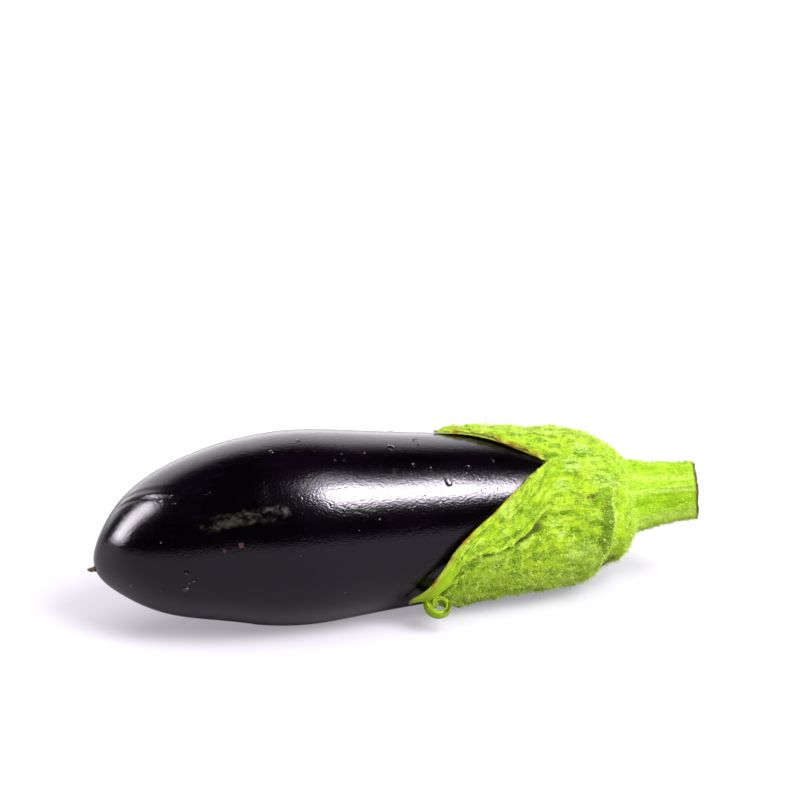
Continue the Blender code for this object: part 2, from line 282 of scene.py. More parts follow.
class Finish(Tree):
    """A material. What is the same all over is set on the shader's own sockets."""

    def __init__(self, name, uniform):
        self.material = bpy.data.materials.new(name)
        self.material.use_nodes = True
        super().__init__(self.material.node_tree)
        self.shader = self.tree.nodes["Principled BSDF"]
        for label, value in uniform.items():
            self.shader.inputs[label].default_value = value
        self.place = self.node("ShaderNodeTexCoord", output="Object")

    def feed(self, label, wire):
        self.tree.links.new(wire.socket, self.shader.inputs[label])

    def mix(self, share, first, second):
        """The first colour, turning to the second as share goes from 0 to 1."""
        return self.node("ShaderNodeMix", {"data_type": "RGBA"}, {0: share, 6: first, 7: second}, 2)

    def paint(self, share, colour):
        """Lays a colour over what is painted so far, where share is above 0."""
        self.colour = self.mix(share, self.colour, colour)
        self.feed("Base Color", self.colour)

    def attribute(self, name):
        return self.node("ShaderNodeAttribute", {"attribute_name": name}, output="Fac")

    def spot(self, place, centre, inner, outer):
        """1 within inner metres of a point, 0 past outer."""
        away = self.vector("DISTANCE", place, tuple(centre), output="Value")
        return self.step(away, outer, inner)

    def line(self, place, start, end, inner, outer):
        """1 within inner metres of the straight line between two points, 0 past outer."""
        start, run = np.array(start), np.array(end) - np.array(start)
        share = self.vector("DOT_PRODUCT", place - tuple(start), tuple(run / (run @ run)), output="Value")
        share = self.function("MINIMUM", self.function("MAXIMUM", share, 0.0), 1.0)
        away = self.vector("DISTANCE", place, tuple(run) * share + tuple(start), output="Value")
        return self.step(away, outer, inner)

    def wobbled(self, scale, reach):
        """The place in metres, shaken by noise so that what is drawn there has a ragged edge."""
        shake = self.node("ShaderNodeTexNoise", values={"Vector": self.place, "Scale": scale}, output="Color")
        return self.place + (shake - (0.5, 0.5, 0.5)) * reach

    def bump(self, height, depth, under=None):
        """Tilts the shading as a relief of this depth in metres would. It stacks on the bump under it."""
        values = {"Height": height, "Distance": depth, "Strength": 1.0}
        if under:
            values["Normal"] = under
        return self.node("ShaderNodeBump", values=values)


class Shape(Tree):
    """A Geometry Nodes tree with named inputs."""

    SOCKETS = {
        float: "NodeSocketFloat",
        int: "NodeSocketInt",
        bpy.types.Object: "NodeSocketObject",
        bpy.types.Material: "NodeSocketMaterial",
    }

    def __init__(self, name, inputs):
        super().__init__(bpy.data.node_groups.new(name, "GeometryNodeTree"))
        self.inputs, self.keys = inputs, {}
        face = self.tree.interface
        face.new_socket("Geometry", in_out="INPUT", socket_type="NodeSocketGeometry")
        for label, value in inputs.items():
            socket = face.new_socket(label, in_out="INPUT", socket_type=self.SOCKETS[type(value)])
            self.keys[label] = socket.identifier
        face.new_socket("Geometry", in_out="OUTPUT", socket_type="NodeSocketGeometry")
        self.given = self.node("NodeGroupInput", output="Geometry")

    def close(self, geometry):
        """Ends the tree: real geometry with its material on it."""
        real = self.node("GeometryNodeRealizeInstances", values={0: geometry})
        done = self.node("GeometryNodeSetMaterial", values={0: real, "Material": self.given["Material"]})
        end = self.tree.nodes.new("NodeGroupOutput")
        self.tree.links.new(done.socket, end.inputs[0])

    def build(self, name, base=None):
        """Runs the tree on a mesh and returns the result as a plain object at the origin."""
        carrier = linked("carrier", base or bpy.data.meshes.new("empty"))
        modifier = carrier.modifiers.new("nodes", "NODES")
        modifier.node_group = self.tree
        for label, value in self.inputs.items():
            modifier[self.keys[label]] = value
        carrier.update_tag()
        bpy.context.view_layer.update()
        graph = bpy.context.evaluated_depsgraph_get()
        mesh = bpy.data.meshes.new_from_object(carrier.evaluated_get(graph), depsgraph=graph)
        carrier.modifiers.remove(modifier)
        bpy.data.objects.remove(carrier)
        mesh.name = name
        return linked(name, mesh)


def read_all(items, name, width=1, kind=np.float32):
    """One property of every vertex, triangle or attribute value, as an array."""
    values = np.empty(len(items) * width, kind)
    items.foreach_get(name, values)
    return values.reshape(-1, width) if width > 1 else values


def points_of(mesh):
    return read_all(mesh.vertices, "co", 3).astype(float)


def linked(name, data):
    made = bpy.data.objects.new(name, data)
    bpy.context.scene.collection.objects.link(made)
    return made


def finished(piece, slot, *nodes):
    """A piece of the object: it rides on the one body and stands for CAD nodes. The slot argument is not
    used.
    """
    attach(piece, "root")
    if nodes:
        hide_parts(*nodes)
    return piece


# ---- the fruit's skin ----
SMEAR = ((0.0890, 61.5), (0.0770, 60))  # station and angle of the ends of a dull smear on the skin
SMEAR_WIDTH = 0.0019
SCARS = (((0.0842, 78), 0.0007), ((0.0870, 80), 0.0005), ((0.0560, 300), 0.0012), ((0.0700, 215), 0.0010))


def on_skin(place):
    """A point of the skin, as three plain numbers."""
    return tuple(float(v) for v in skin(np.array(place[0]), np.array(place[1])))


def skin_finish():
    finish = Finish("black_skin", {"IOR": 1.36, "Specular Tint": (0.94, 0.87, 1.0, 1.0)})
    place, step, noise_at, paint = finish.place, finish.step, finish.noise, finish.paint
    clouds = noise_at(place, 0.014, 3)
    streaks = noise_at(place, 0.0012, 3, stretch=(0.07, 1.0, 1.0))
    finish.colour = finish.mix(step(clouds, 0.35, 0.7), (0.0004, 0.0002, 0.0005), (0.0018, 0.0006, 0.0022))
    paint(step(streaks, 0.55, 0.8) * 0.5, (0.0050, 0.0018, 0.0060))

    cells = finish.node("ShaderNodeTexVoronoi", values={"Vector": place, "Scale": 380.0})
    chosen = finish.node("ShaderNodeSeparateColor", values={0: cells["Color"]})
    freckles = step(cells["Distance"] + (clouds - 0.5) * 0.1, 0.085, 0.04) * step(chosen, 0.80, 0.86)
    paint(freckles * 0.45, (0.26, 0.23, 0.22))

    rough_place = finish.wobbled(900.0, 0.0016)
    smears = finish.line(rough_place, on_skin(SMEAR[0]), on_skin(SMEAR[1]), SMEAR_WIDTH * 0.4, SMEAR_WIDTH)
    broken = step(noise_at(place, 0.0017, 5, 0.7, stretch=(0.6, 1.0, 1.0)), 0.38, 0.74)
    smears = smears * broken
    paint(smears * 0.30, (0.11, 0.11, 0.075))
    for centre, size in SCARS:
        scar = finish.spot(rough_place, on_skin(centre), size * 0.4, size)
        paint(scar * 0.6, (0.085, 0.040, 0.028))
        smears = finish.function("MAXIMUM", smears, scar)

    haze = noise_at(place, 0.009, 4)
    finish.feed("Roughness", 0.100 + haze * 0.05 + streaks * 0.03 + smears * 0.30)
    grain = noise_at(place, 0.00040, 2, 0.6, stretch=(0.7, 1.0, 1.0))
    pores = step(noise_at(place, 0.0011, 1), 0.60, 0.72)
    relief = finish.bump(grain, 0.000042)
    relief = finish.bump(pores * -1.0, 0.000010, relief)
    relief = finish.bump(freckles + smears * 0.3, 0.00004, relief)
    finish.feed("Normal", relief)
    return finish.material


FRUIT_INPUTS = {
    "Length": FRUIT_LENGTH, "Belly Station": BELLY_STATION, "Belly Height": BELLY_HEIGHT, "Rise": SPINE_RISE,
    "Bend Start": NOSE_START, "Bend Ease": NOSE_EASE, "Bow": NOSE_BOW, "Droop": NOSE_DROOP,
    "Swell": 0.00012, "Swell Size": 0.018, "Wrinkle Depth": 0.00005, "Rings": 300, "Sides": 288,
}
WRINKLE_ANGLE, WRINKLE_STATION, WRINKLE_SLANT = 26.0, 0.0945, 2900.0  # the slant is in degrees a metre


def meridian_curve():
    line = bpy.data.curves.new("meridian", "CURVE")
    line.dimensions = "3D"
    spline = line.splines.new("POLY")
    spline.points.add(len(MERIDIAN) - 1)
    spline.points.foreach_set("co", np.column_stack([MERIDIAN, np.zeros((len(MERIDIAN), 2))]).ravel())
    return linked("meridian", line)


def fruit_shape(material):
    """The fruit as nodes: a grid wrapped around the spine at the meridian's radius, pressed flat below."""
    meridian = meridian_curve()
    shape = Shape("fruit_by_rule", {"Meridian": meridian, **FRUIT_INPUTS, "Material": material})
    given = shape.given

    def spine_at(station):
        past = shape.function("MAXIMUM", station / given["Length"] - given["Bend Start"], 0.0)
        bend = (past / (1.0 - given["Bend Start"])) ** given["Bend Ease"]
        ahead = given["Belly Station"] - station
        height = given["Belly Height"] + given["Rise"] * ahead - given["Droop"] * bend
        return shape.join(ahead, given["Bow"] * bend, height)

    def moved(geometry, **how):
        return shape.node("GeometryNodeSetPosition", values={"Geometry": geometry, **how})

    counts = {"Vertices X": given["Rings"] + 1, "Vertices Y": given["Sides"] + 1}
    sheet = shape.node("GeometryNodeMeshGrid", values={"Size X": 1.0, "Size Y": 1.0, **counts})
    where = shape.split(shape.node("GeometryNodeInputPosition"))
    profile = shape.node("GeometryNodeObjectInfo", values={"Object": given["Meridian"]}, output="Geometry")
    reading = {"mode": "FACTOR", "use_all_curves": True}
    share = {"Curves": profile, "Factor": where["X"] + 0.5}
    outline = shape.split(shape.node("GeometryNodeSampleCurve", reading, share, "Position"))
    station, radius = outline["X"], outline["Y"]
    turn = (where["Y"] + 0.5) * (2 * math.pi)
    ahead = shape.vector("NORMALIZE", spine_at(station + 0.0005) - spine_at(station - 0.0005))
    up = shape.vector("NORMALIZE", shape.join(0.0, 0.0, 1.0) - ahead * shape.split(ahead)["Z"])
    side = shape.vector("CROSS_PRODUCT", up, ahead)
    ray = up * shape.function("COSINE", turn) + side * shape.function("SINE", turn)

    share = station / given["Length"]
    nose = shape.step(share, 0.80, 0.88) * shape.step(share, 0.965, 0.92)
    across = turn * 57.2958 - (WRINKLE_ANGLE - (station - WRINKLE_STATION) * WRINKLE_SLANT)
    folds = shape.function("SINE", across * 0.62)
    wrinkles = folds * nose * shape.step(shape.function("ABSOLUTE", across), 15.0, 6.0)
    out = radius + wrinkles * given["Wrinkle Depth"]
    wrapped = moved(sheet["Mesh"], Position=spine_at(station) + ray * out)

    position = shape.node("GeometryNodeInputPosition")
    size = {"Vector": position, "Scale": 1.0 / given["Swell Size"], "Detail": 1.0}
    lumps = (shape.node("ShaderNodeTexNoise", values=size) - 0.5) * (given["Swell"] * 2.0)
    swollen = moved(wrapped, Offset=shape.node("GeometryNodeInputNormal") * lumps)
    parts = shape.split(position)
    floor = shape.function("MAXIMUM", parts["Z"], 0.0)
    flat = moved(swollen, Position=shape.join(parts["X"], parts["Y"], floor))
    place = tuple(float(v) for v in ORIGIN)
    placed = shape.node("GeometryNodeTransform", values={"Geometry": flat, "Translation": place})
    joined = shape.node("GeometryNodeMergeByDistance", values={"Geometry": placed, "Distance": 0.000002})
    shape.close(shape.node("GeometryNodeSetShadeSmooth", values={"Geometry": joined}))
    piece = shape.build("fruit_skin")
    bpy.data.objects.remove(meridian)
    return face_outwards(piece)


def face_outwards(piece):
    """Turns a closed mesh's faces outwards if its volume reads negative."""
    mesh = piece.data
    mesh.calc_loop_triangles()
    triangles = points_of(mesh)[read_all(mesh.loop_triangles, "vertices", 3, np.int32)]
    if np.linalg.det(triangles).sum() < 0:
        mesh.flip_normals()
    return piece


fruit = finished(fruit_shape(skin_finish()), "skin", "fruit")


# ---- the calyx and the stem, grown together as one ----
class Sepal(NamedTuple):
    """Its edges run from its notches to its tip, as station and angle. Neighbours share their notches."""

    left: tuple
    right: tuple
    lift: tuple  # how far it stands off the skin at its base, its middle and its tip
    spring: float  # how far its free edges curl up
    columns: int
    tuck: float = 0.0  # degrees that its left edge is moved under its neighbour
    rims: tuple = (0.0014, 0.0014)  # how wide its left and right edges thin out


SEPALS = {
    "top": Sepal(
        ((0.0145, -38), (0.0245, -32), (0.0320, -22), (0.0380, -11)),
        ((0.0165, 33), (0.0215, 22), (0.0255, 13), (0.0310, 1), (0.0380, -9)),
        (0.0, 0.0002, -0.0001), 0.00015, 50,
    ),
    "front": Sepal(
        ((0.0165, 33), (0.0232, 50), (0.0275, 61), (0.0335, 76), (0.0390, 89), (0.0425, 103), (0.0485, 131)),
        ((0.0200, 75), (0.0255, 89), (0.0300, 95), (0.0372, 99), (0.0410, 109), (0.0445, 120), (0.0485, 134)),
        (0.0, 0.0003, 0.0007), 0.0003, 46, rims=(0.0016, 0.0006),
    ),
    "lower": Sepal(
        ((0.0200, 75), (0.0255, 86), (0.0310, 93), (0.0370, 97), (0.0400, 106), (0.0430, 124)),
        ((0.0150, 152), (0.0280, 163), (0.0375, 156), (0.0430, 132)),
        (0.0, 0.0, 0.0003), 0.0002, 54, tuck=-1.5, rims=(0.0032, 0.0016),
    ),
    "under": Sepal(
        ((0.0150, 152), (0.0250, 174), (0.0345, 196), (0.0430, 212)),
        ((0.0140, 236), (0.0245, 232), (0.0340, 224), (0.0430, 214)),
        (0.0, 0.0, 0.0008), 0.0003, 46,
    ),
    "back": Sepal(
        ((0.0140, 236), (0.0245, 249), (0.0340, 269), (0.0440, 287)),
        ((0.0145, 322), (0.0245, 316), (0.0340, 304), (0.0440, 289)),
        (0.0, 0.0007, 0.0022), 0.0004, 50,
    ),
}
SEPAL_ROWS, CUP_ROWS, COLLAR_ROWS, STEM_ROWS, INNER_ROWS, CURL_ROWS = 72, 22, 26, 34, 6, 72
EDGE_THICKNESS = 0.30  # of the full thickness, at a sepal's edge
TIP_THINNING = 0.35
CURL_RADIUS = (0.0033, 0.0014)
CURL_ANGLES = (90.0, 560.0)
CURL_HALF_WIDTH = (0.0013, 0.0006)
CURL_THICKNESS = 0.0013
COLLAR_STATION = 0.0062
COLLAR_REACH = (0.0072, 0.0110)
CUP_START = 0.0078  # the station where the collar's curve meets the cup
SEAT_DEPTH = 0.0070
SEAT_RISE = 0.0009
SEAT_LEAD = 0.0018
STEM_RADIUS = 0.0063
STEM_LENGTH = 0.0135
STEM_FLARE = 1.24
STEM_SWING = -15.0
STEM_LIFT = 5.0
RIB_WIDTH = 1 / 9  # of a sepal's width
FIBRE_RADIUS = 0.017
CUT_HOLLOW = 0.0007


def between(pair, t):
    return pair[0] + t * (pair[1] - pair[0])


def through_three(values, t):
    """A smooth curve through three values at 0, 0.5 and 1."""
    first, middle, last = values
    return first * (1 - t) * (1 - 2 * t) + 4 * middle * t * (1 - t) + last * t * (2 * t - 1)


def edge_curve(points, rows):
    """A sepal's edge as rows of station and angle, from its notch to its tip."""
    metres = np.array([1, math.radians(1) * FRUIT_RADIUS])
    return smooth_curve(np.array(points) * metres, rows) / metres


def stem_axis():
    """The middle of the stem's seat, the stem's direction, and two directions across it."""
    ahead, up, _ = spine_frame(np.array(0.0))
    middle = spine(np.array(0.0)) - ahead * SEAT_DEPTH + up * SEAT_RISE
    swing, lift = math.radians(STEM_SWING), math.radians(STEM_LIFT)
    turn = np.array(Matrix.Rotation(swing, 3, "Z") @ Matrix.Rotation(-lift, 3, "Y"))
    return middle, turn[:, 0], turn[:, 2], -turn[:, 1]


class Body:
    """Vertices and faces that pieces of the calyx are added to, with what each vertex knows of itself."""

    MARKS = "outer rim tip blade stalk cut rib felt shoulder crease band glow".split()

    def __init__(self):
        self.points, self.faces, self.marks, self.fibres = [], [], [], []

    def rows(self, points, fibre=(0.0, 0.0, 0.0), **marks):
        """Adds a grid of vertices and returns their numbers in the grid's shape."""
        first, shape = len(self.points), points.shape[:-1]
        self.points.extend(points.reshape(-1, 3))
        self.fibres.extend(np.broadcast_to(fibre, (*shape, 3)).reshape(-1, 3))
        table = [np.broadcast_to(marks.get(name, 0.0), shape).ravel() for name in self.MARKS]
        self.marks.extend(np.stack(table, -1))
        return np.arange(first, first + int(np.prod(shape))).reshape(shape)

    def skin_over(self, grid, closed=False, flip=False):
        """Faces between the rows of a grid of vertex numbers."""
        if closed:
            grid = np.concatenate([grid, grid[:, :1]], axis=1)
        quads = np.stack([grid[:-1, :-1], grid[:-1, 1:], grid[1:, 1:], grid[1:, :-1]], -1).reshape(-1, 4)
        self.faces.extend(quads[:, ::-1].tolist() if flip else quads.tolist())

    def fan(self, ring, point, flip=False, **marks):
        """Closes a ring of vertices with a fan around one more."""
        tip = int(self.rows(np.array([point]), self.fibres[ring[0]], **marks)[0])
        for a, b in zip(ring, np.roll(ring, -1)):
            self.faces.append([int(a), tip, int(b)] if flip else [int(a), int(b), tip])

    def capped(self, rings, start, end):
        """A closed surface through rings of points, with a fan around a point at each end."""
        grid = self.rows(np.array(rings))
        self.skin_over(grid, closed=True)
        self.fan(grid[0], start, flip=True)
        self.fan(grid[-1], end)

    def mesh(self, name):
        made = bpy.data.meshes.new(name)
        made.from_pydata([tuple(point) for point in self.points], [], self.faces)
        made.shade_smooth()
        return made

    def piece(self, name, material):
        made = self.mesh(name)
        made.materials.append(material)
        return face_outwards(linked(name, made))


def column_table():
    """For each column around the cup: its sepal, its share across it, and its notch's station and angle."""
    table = []
    for number, sepal in enumerate(SEPALS.values()):
        (station, angle), (next_station, next_angle) = sepal.left[0], sepal.right[0]
        for share in column_shares(sepal.columns)[:-1]:
            notch = between((station, next_station), share), between((angle, next_angle), share)
            table.append((number, share, *notch))
    return np.array(table)


def column_shares(count):
    """Shares across a sepal, closer together towards its edges."""
    even = np.linspace(0, 1, count + 1)
    return 0.45 * even + 0.55 * (0.5 - 0.5 * np.cos(math.pi * even))


def edge_profile(away, width):
    """A sepal's share of its full thickness, this far from its edge: a rounded lip."""
    t = np.clip(away / width, 0.0, 1.0)
    return EDGE_THICKNESS + (1 - EDGE_THICKNESS) * np.sqrt(1 - (1 - t) ** 2)


def unrolled(station, angle):
    """Flat coordinates in metres for distances along the calyx."""
    return np.stack([station, np.radians(angle) * (skin_radius(station) + CALYX_THICKNESS)], -1)


def distance_to(points, line):
    """From each flat point to the nearest of a dense line of points."""
    flat = points.reshape(-1, 2)
    away = np.min(np.linalg.norm(flat[:, None] - line[None], axis=-1), axis=1)
    return away.reshape(points.shape[:-1])


def upper_rows(body, columns):
    """The outer face from the cut end, down the stem and the collar, and over the cup to the notches."""
    _, share, notch_station, notch_angle = columns.T
    middle, along, above, side = stem_axis()
    turn = np.radians(notch_angle)
    ray = above * np.cos(turn)[:, None] + side * np.sin(turn)[:, None]
    ridge = np.cos(2 * math.pi * (share - 0.5))

    stem_share = np.linspace(1, 0, STEM_ROWS)
    distance = SKIN_GAP + stem_share * STEM_LENGTH
    radius = STEM_RADIUS * (1 + (STEM_FLARE - 1) * (1 - stem_share) ** 2)
    ridged = radius[:, None] * (1 + 0.045 * ridge[None])
    ragged = 0.00015 * np.sin(turn * 2 + 1) + 0.00006 * np.sin(turn * 7) + 0.00003 * np.sin(turn * 17)
    reach = distance[:, None] + ragged[None] * smoothstep(stem_share, 0.7, 1.0)[:, None]
    stem = middle + along * reach[..., None] + ray[None] * ridged[..., None]

    back = -spine_frame(np.array(0.0))[0]
    lean = (1 - np.cos(turn)) / 2
    shoulder = skin(COLLAR_STATION, notch_angle, SKIN_GAP + CALYX_THICKNESS / 2)
    pull = shoulder + back * between(COLLAR_REACH, lean)[:, None]
    cup_top = skin(CUP_START, notch_angle, SKIN_GAP + CALYX_THICKNESS)
    seat = stem[-1]
    t = np.linspace(0, 1, COLLAR_ROWS + 2)[1:-1, None, None]
    lead = seat - along * SEAT_LEAD * 1.6
    collar = seat * (1 - t) ** 3 + lead * 3 * t * (1 - t) ** 2 + pull * 3 * t * t * (1 - t) + cup_top * t**3

    down = np.linspace(0, 1, CUP_ROWS)[:, None]
    station = CUP_START + (notch_station[None] - CUP_START) * down
    angle = np.broadcast_to(notch_angle, station.shape)
    notches = columns[share == 0.0][:, 2:]
    notches = np.concatenate([notches, notches + (0.0, 360.0)])
    away = distance_to(unrolled(station, angle), unrolled(*notches.T))
    height = SKIN_GAP + CALYX_THICKNESS * edge_profile(away, 0.0022)
    cup = skin(station, angle, height)

    points = np.concatenate([stem, collar, cup])
    length = lengths_along(points[:, 0])
    stalk = np.concatenate([np.ones(STEM_ROWS), np.linspace(1, 0, COLLAR_ROWS), np.zeros(CUP_ROWS)])[:, None]
    rib = bump_at(share, 0.5, RIB_WIDTH)[None]
    cut = bump_at(length[:, None], 0.0, 0.0007)
    order = np.concatenate([-stem_share, t.ravel(), 1 + (station[:, 0] - CUP_START) / 0.009])[:, None]
    crest = bump_at(order, 0.78, 0.13) * bump_at(notch_angle, 133, 32)
    # Painted light on the shoulder: a band of painted highlight, less the groove, which gets painted shade.
    glow = bump_at(order, 0.72, 0.10) * bump_at(notch_angle, 100, 40)
    groove = bump_at(order, 0.92, 0.07) * bump_at(notch_angle, 92, 32)
    neck = bump_at(order, 0.25, 0.18) * bump_at(notch_angle, 118, 60)
    light = bump_at(notch_angle, 39, 10) + bump_at(notch_angle, 64, 7) + bump_at(notch_angle, 115, 14)
    deep = bump_at(notch_angle, 86, 9) + 1.2 * bump_at(notch_angle, 15, 4) + bump_at(notch_angle, 240, 20)
    band = (light - deep) * smoothstep(stalk, 0.5, 1.0)
    known = {"stalk": stalk, "rib": rib, "cut": cut, "band": band, "glow": glow - groove}
    known.update(outer=1.0, felt=1.0, shoulder=crest - 0.35 * groove - 0.25 * neck)
    return body.rows(points, fibres_of(columns, length), **known), length[-1]


def fibres_of(columns, length):
    """Where a fibre pattern is read: round with the columns, and along the rows."""
    turn = np.radians(columns[:, 3])
    across = np.stack([np.cos(turn), np.sin(turn)], -1) * FIBRE_RADIUS
    shape = len(length), len(columns)
    around = np.broadcast_to(across, (*shape, 2))
    return np.concatenate([around, np.broadcast_to(length[:, None, None], (*shape, 1))], -1)


def cut_face(body, ring):
    """The stem's cut end: a rim, a shallow hollow and the pith."""
    rim = np.array([body.points[i] for i in ring])
    middle = rim.mean(axis=0)
    along = stem_axis()[1]
    share = np.array([0.97, 0.90, 0.78, 0.62, 0.45, 0.28, 0.12])[:, None]
    dip = CUT_HOLLOW * (1 - share**4) - 0.0002 * bump_at(share, 0.45, 0.12)
    rows = middle + (rim - middle) * share[..., None] - along * dip[..., None]
    cap = body.rows(rows, body.fibres[ring[0]], stalk=1.0, cut=1.0 + share)
    body.skin_over(np.concatenate([ring[None], cap]), closed=True, flip=True)
    body.fan(cap[-1], middle - along * CUT_HOLLOW, flip=True, stalk=1.0, cut=1.0)


def sepal_grid(name, number):
    """Stations, angles and shares of a sepal's rows past its notches, with its edges a little uneven."""
    sepal = SEPALS[name]
    rows = np.arange(1, SEPAL_ROWS + 1) / SEPAL_ROWS
    left, right = (edge_curve(edge, SEPAL_ROWS + 1)[1:] for edge in (sepal.left, sepal.right))
    fade = smoothstep(rows, 0.0, 0.12) * (1 - 0.6 * rows)
    for edge, shift in ((left, 3.1), (right, 8.7)):
        wave = [noise.noise(Vector((r * 9.0, shift + number, 0))) * 1.3 for r in rows]
        fine = [noise.noise(Vector((r * 34.0, shift + number, 5))) * 0.6 for r in rows]
        edge[:, 1] += (np.array(wave) + fine) * fade
    left[:, 1] += sepal.tuck * smoothstep(rows, 0.0, 0.2) * (1 - smoothstep(rows, 0.8, 1.0))
    share = column_shares(sepal.columns)
    grid = left[:, None] + share[None, :, None] * (right - left)[:, None]
    return grid[..., 0], grid[..., 1], rows[:, None], share[None], left, right


def add_sepal(body, name, number, outer_ring, inner_ring, columns, length):
    """One sepal: its outer and inner faces, its edges and its tip."""
    sepal = SEPALS[name]
    station, angle, t, share, left, right = sepal_grid(name, number)
    flat = unrolled(station, angle)
    rims = [
        distance_to(flat, unrolled(*np.concatenate([[given[0]], edge]).T))
        for given, edge in ((sepal.left, left), (sepal.right, right))
    ]
    away = np.minimum(*rims)
    thickness = CALYX_THICKNESS * (1 - TIP_THINNING * t) * (1 - 0.45 * smoothstep(t, 0.75, 1.0))
    thickness = thickness * np.minimum(*(edge_profile(rim, width) for rim, width in zip(rims, sepal.rims)))
    lift = np.maximum(0.0, through_three(sepal.lift, t)) * np.ones_like(share)
    open_edge = smoothstep(t, 0.05, 0.35)
    lift = lift + sepal.spring * np.exp(-away / 0.0011) * open_edge * (1 - smoothstep(t, 0.75, 1.0))
    if name == "front":
        lap = smoothstep(t, 0.02, 0.2) * (1 - smoothstep(t, 0.8, 1.0))
        lift = lift + 0.0008 * bump_at(rims[1], 0.0, 0.0018) * lap
        blade = smoothstep(t, 0.62, 0.74) * np.ones_like(share)
        fold = blade * (1 - smoothstep(t, 0.85, 1.0))
        lift = lift + fold * (0.0006 * bump_at(rims[1], 0.0, 0.0012) + 0.0004)
    else:
        blade = smoothstep(t, 0.93, 1.0) * np.ones_like(share)
    if name == "lower":
        lift = lift * (0.3 + 0.7 * smoothstep(rims[0], 0.0, 0.003))
        blade = blade * smoothstep(t, 0.9, 1.0)
    inner_height = SKIN_GAP * 0.6 + lift
    inner = skin(station, angle, inner_height)
    outer = skin(station, angle, inner_height + thickness)

    rim = bump_at(away, 0.0, 0.00038) * smoothstep(t, 0.0, 0.06)
    if name == "lower":
        rim = rim * smoothstep(rims[0], 0.0, 0.002)
    tip = smoothstep(t, 0.90, 1.0) * np.ones_like(share)
    rib = bump_at(share, 0.5, RIB_WIDTH) * (1 - t) ** 0.5
    felt = (1 - blade) * smoothstep(away, 0.0, 0.0006)
    if name == "lower":
        felt = felt * smoothstep(rims[0], 0.0012, 0.0026)
    first = sum(before.columns for before in list(SEPALS.values())[:number])
    here = (first + np.arange(sepal.columns + 1)) % len(columns)
    run = length + lengths_along(outer[:, share.size // 2])
    fibre = fibres_of(columns[here], run)
    crease = np.zeros_like(rim)
    if name == "front":
        rim = rim * smoothstep(rims[1] - rims[0], -0.0002, 0.0004)
    if name == "lower":
        # Painted shade: a dark line along the crease where the front sepal laps over this one.
        crease = bump_at(np.maximum(rims[0] - 0.0017, 0), 0.0, 0.0003)
        crease = crease * smoothstep(t, 0.0, 0.08) * (1 - smoothstep(t, 0.45, 0.7))
    known = {"rim": rim, "tip": tip, "blade": blade, "rib": rib, "crease": crease}
    outside = np.concatenate([outer_ring[here][None], body.rows(outer, fibre, outer=1.0, felt=felt, **known)])
    inside = np.concatenate([inner_ring[here][None], body.rows(inner, fibre, **known)])
    if name == "lower":
        corners = station[-1, 0], left[-1, 1], right[-1, 1]
        outside, inside = add_curl(body, outside, inside, *corners, fibre[-1])
    body.skin_over(outside)
    body.skin_over(inside, flip=True)
    body.skin_over(np.stack([outside[:, 0], inside[:, 0]], 1), flip=False)
    body.skin_over(np.stack([outside[:, -1], inside[:, -1]], 1), flip=True)
    body.skin_over(np.stack([outside[-1], inside[-1]]))


def add_curl(body, outside, inside, station, left, right, fibre):
    """The rolled-up tip: a strip that follows a shrinking spiral away from the skin, like a watch spring."""
    angle = (left + right) / 2
    tip = np.array([body.points[i] for i in inside[-1]]).mean(axis=0)
    outward = unit(skin(station, angle, CURL_RADIUS[0]) - skin(station, angle))
    across = unit(skin(station, right) - skin(station, left))
    back = np.cross(outward, across)
    t = np.arange(1, CURL_ROWS + 1) / CURL_ROWS
    turn = np.radians(between(CURL_ANGLES, t))[:, None]
    spoke = back * np.cos(turn) - outward * np.sin(turn)
    start = math.radians(CURL_ANGLES[0])
    middle = tip - (back * math.cos(start) - outward * math.sin(start)) * CURL_RADIUS[0]
    share = 2 * column_shares(outside.shape[1] - 1) - 1
    half = between(CURL_HALF_WIDTH, t)[:, None, None]
    radius = between(CURL_RADIUS, t)[:, None, None]
    line = middle + spoke[:, None] * radius + across * (half * share[None, :, None])
    crown = CURL_THICKNESS * (0.45 + 0.55 * np.sqrt(np.maximum(0.0, 1 - share**2)))[None, :, None]
    bulge = 0.00030 * (1 - share**2)[None, :, None]
    inner = line + spoke[:, None] * bulge
    outer = line - spoke[:, None] * (crown - bulge)
    dry_tip = 0.5 * smoothstep(t, 0.9, 1.0)[:, None]
    known = {"blade": 1.0, "rim": 0.5 * np.abs(share)[None] ** 6, "tip": dry_tip}
    outside = np.concatenate([outside, body.rows(outer, fibre, outer=1.0, **known)])
    inside = np.concatenate([inside, body.rows(inner, fibre, **known)])
    return outside, inside


def calyx_mesh():
    body = Body()
    columns = column_table()
    upper, length = upper_rows(body, columns)
    body.skin_over(upper, closed=True)
    cut_face(body, upper[0])
    notch_station, notch_angle = columns.T[2:]
    low = np.linspace(1, 0.08, INNER_ROWS)[:, None]
    inner = skin_at(place_at(notch_station)[None] * low, notch_angle, SKIN_GAP * 0.6)
    inner_rows = body.rows(inner, fibres_of(columns, np.zeros(INNER_ROWS)))
    body.skin_over(inner_rows, closed=True)
    body.fan(inner_rows[-1], skin_at(0.0, 0.0, SKIN_GAP * 0.6))
    for number, name in enumerate(SEPALS):
        add_sepal(body, name, number, upper[-1], inner_rows[0], columns, length)
    mesh = body.mesh("calyx_and_stem")
    mesh.validate()
    marks = np.array(body.marks)
    for k, name in enumerate(Body.MARKS):
        layer = mesh.attributes.new(name, "FLOAT", "POINT")
        layer.data.foreach_set("value", marks[:, k].astype(np.float32))
    layer = mesh.attributes.new("fibre", "FLOAT_VECTOR", "POINT")
    layer.data.foreach_set("vector", np.array(body.fibres, np.float32).ravel())
    return mesh


def mark_on(mesh, name):
    """What each vertex of the calyx knows of itself under one name."""
    return read_all(mesh.attributes[name].data, "value")


